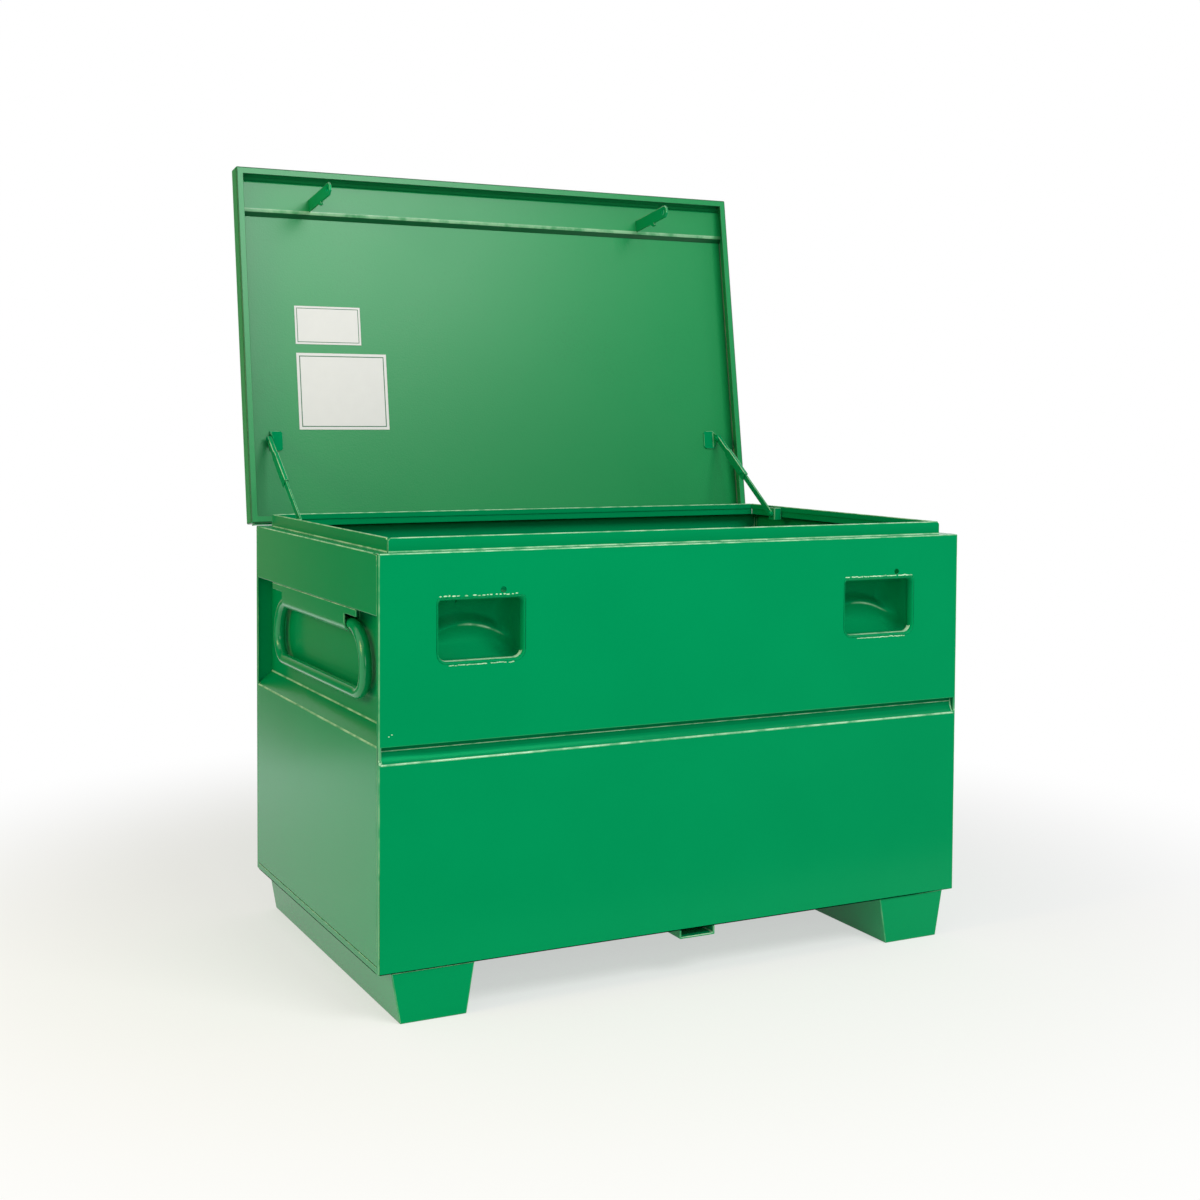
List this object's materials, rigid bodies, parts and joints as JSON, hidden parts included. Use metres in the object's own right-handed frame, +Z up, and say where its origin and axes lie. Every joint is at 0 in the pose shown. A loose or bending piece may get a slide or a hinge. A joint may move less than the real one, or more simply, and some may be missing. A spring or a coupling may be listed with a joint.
{
  "type": "jobsite storage box",
  "caption": "Steel jobsite storage box on two skids with a hinged lid on folding stays, recessed lock cups and drop handles.",
  "frame": {"origin": "on the floor, under the middle of the box that bounds the part as it stands with the lid open", "axes": "+X to the right along the front, +Y to the rear, +Z up; the front panel faces -Y"},
  "size_m": [1.2192, 0.954, 1.5713],
  "materials": {
    "green_enamel": "glossy green enamel",
    "liner_enamel": "thinner green enamel, semi-gloss",
    "label_film": "white film without lettering"
  },
  "bodies": {
    "box": {"front_panel": "green_enamel", "rear_panel": "green_enamel", "right_side_panel": "green_enamel", "left_side_panel": "green_enamel", "floor_pan": "green_enamel", "right_skid": "green_enamel", "left_skid": "green_enamel", "floor_channel": "green_enamel", "left_lock_cup": "green_enamel", "right_lock_cup": "green_enamel", "hinge_body_leaf": "green_enamel", "hinge_pin": "green_enamel", "left_stay_body_bracket": "green_enamel", "left_handle_bracket": "green_enamel", "right_stay_body_bracket": "green_enamel", "right_handle_bracket": "green_enamel"},
    "lid": {"lid_shell": "green_enamel", "lid_stiffener": "liner_enamel", "left_lock_tongue": "liner_enamel", "right_lock_tongue": "liner_enamel", "rating_label": "label_film", "notice_label": "label_film", "hinge_lid_leaf": "green_enamel", "left_stay_lid_bracket": "liner_enamel", "left_stay_lid_rivet": "green_enamel", "right_stay_lid_bracket": "liner_enamel", "right_stay_lid_rivet": "green_enamel"},
    "left_upper_link": {"left_stay_upper_link": "liner_enamel", "left_stay_elbow_rivet": "green_enamel"},
    "left_lower_link": {"left_stay_lower_link": "green_enamel", "left_stay_body_rivet": "green_enamel"},
    "left_drop_handle": {"left_handle": "green_enamel"},
    "right_upper_link": {"right_stay_upper_link": "liner_enamel", "right_stay_elbow_rivet": "green_enamel"},
    "right_lower_link": {"right_stay_lower_link": "green_enamel", "right_stay_body_rivet": "green_enamel"},
    "right_drop_handle": {"right_handle": "green_enamel"}
  },
  "joints": [
    {"name": "lid_hinge", "type": "hinge", "parent": "box", "child": "lid", "pos_m": [0, 0.30977, 0.796], "axis": [1, 0, 0], "range_deg": [0, 98.6]},
    {"name": "left_stay_lid_pivot", "type": "hinge", "parent": "lid", "child": "left_upper_link", "pos_m": [-0.5575, 0.3723, 0.98679], "axis": [1, 0, 0], "range_deg": [-130.8, 0]},
    {"name": "left_stay_elbow", "type": "hinge", "parent": "left_upper_link", "child": "left_lower_link", "pos_m": [-0.5575, 0.2628, 0.90806], "axis": [1, 0, 0], "range_deg": [0, 174.7]},
    {"name": "right_stay_lid_pivot", "type": "hinge", "parent": "lid", "child": "right_upper_link", "pos_m": [0.5575, 0.3723, 0.98679], "axis": [1, 0, 0], "range_deg": [-130.8, 0]},
    {"name": "right_stay_elbow", "type": "hinge", "parent": "right_upper_link", "child": "right_lower_link", "pos_m": [0.5575, 0.2628, 0.90806], "axis": [1, 0, 0], "range_deg": [0, 174.7]},
    {"name": "left_handle_pivot", "type": "hinge", "parent": "box", "child": "left_drop_handle", "pos_m": [-0.59375, -0.09523, 0.66855], "axis": [0, 1, 0], "range_deg": [-2, 114]},
    {"name": "right_handle_pivot", "type": "hinge", "parent": "box", "child": "right_drop_handle", "pos_m": [0.59375, -0.09523, 0.66855], "axis": [0, -1, 0], "range_deg": [-2, 114]}
  ],
  "couplings": [
    {"joint": "left_stay_lid_pivot", "follows": "lid_hinge", "ratio": -1.3263},
    {"joint": "left_stay_elbow", "follows": "lid_hinge", "ratio": 1.7713},
    {"joint": "right_stay_lid_pivot", "follows": "lid_hinge", "ratio": -1.3263},
    {"joint": "right_stay_elbow", "follows": "lid_hinge", "ratio": 1.7713}
  ]
}
